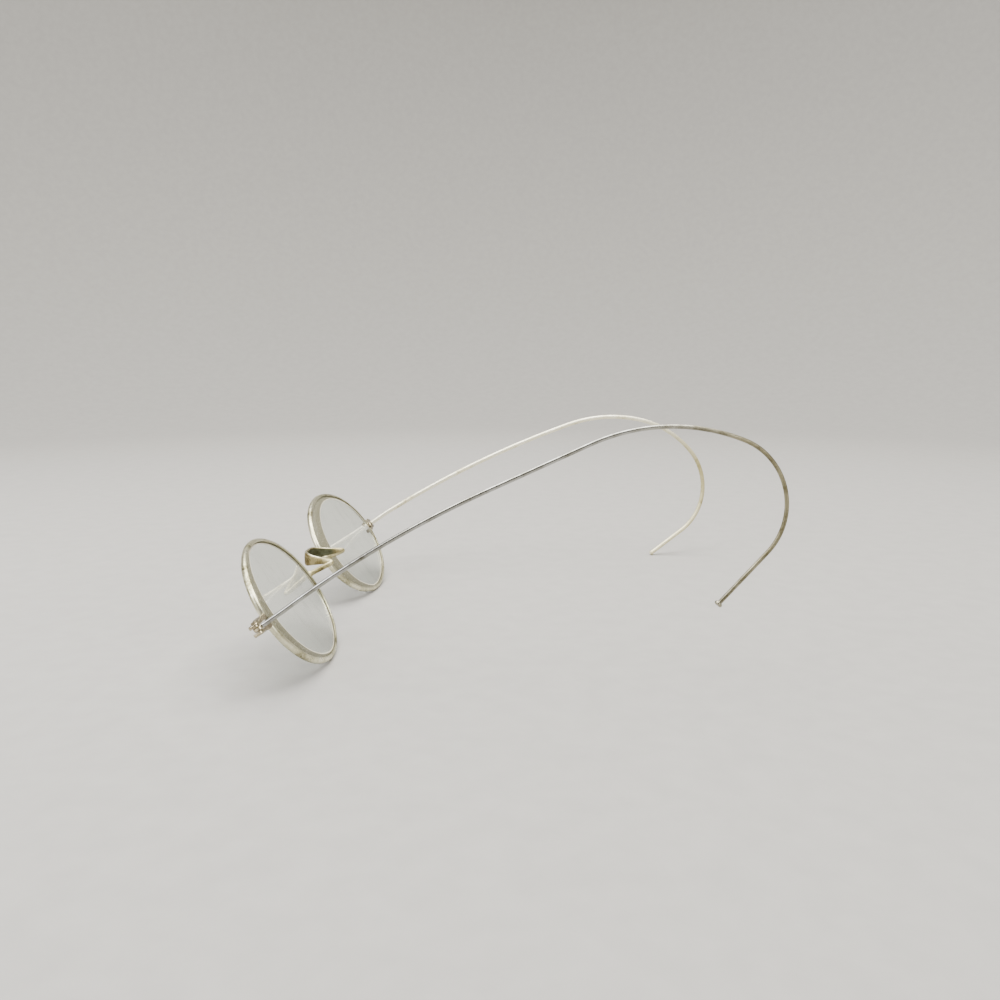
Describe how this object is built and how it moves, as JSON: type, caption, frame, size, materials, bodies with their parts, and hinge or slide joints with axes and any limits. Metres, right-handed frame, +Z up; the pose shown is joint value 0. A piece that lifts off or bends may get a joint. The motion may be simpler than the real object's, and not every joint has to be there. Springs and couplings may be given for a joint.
{
  "type": "wire-rim spectacles",
  "caption": "Oval wire-rim spectacles with clear lenses, a saddle bridge and two folding temples that hook behind the ears.",
  "frame": {"origin": "centre of the bounding box on the surface the spectacles lie on", "axes": "+Z up; the lenses face -Y and lean back 34 degrees; +X is the wearer's left and the longest extent; the temples run back along +Y"},
  "size_m": [0.1428, 0.1182, 0.052],
  "materials": {
    "frame": "worn satin nickel silver",
    "left_temple": "worn polished steel wire",
    "screw": "tarnished steel",
    "lens": "clear polished glass with fine wear"
  },
  "bodies": {
    "front": {"left_rim": "frame", "right_rim": "frame", "left_lens": "lens", "right_lens": "lens", "bridge": "frame", "left_joint_upper": "frame", "left_joint_lower": "frame", "right_joint_upper": "frame", "right_joint_lower": "frame", "left_hinge_screw": "screw", "right_hinge_screw": "screw"},
    "left_temple": {"left_temple_eye": "left_temple", "left_temple_wire": "left_temple", "left_temple_button": "left_temple"},
    "right_temple": {"right_temple_eye": "frame", "right_temple_wire": "frame", "right_temple_ball": "frame"}
  },
  "joints": [
    {"name": "left_temple_fold", "type": "hinge", "parent": "front", "child": "left_temple", "pos_m": [0.06991, -0.04951, 0.01439], "axis": [0, -0.5628, 0.8266], "range_deg": [-27, 60]},
    {"name": "right_temple_fold", "type": "hinge", "parent": "front", "child": "right_temple", "pos_m": [-0.04489, -0.0485, 0.0129], "axis": [0, 0.5628, -0.8266], "range_deg": [0, 87]}
  ]
}
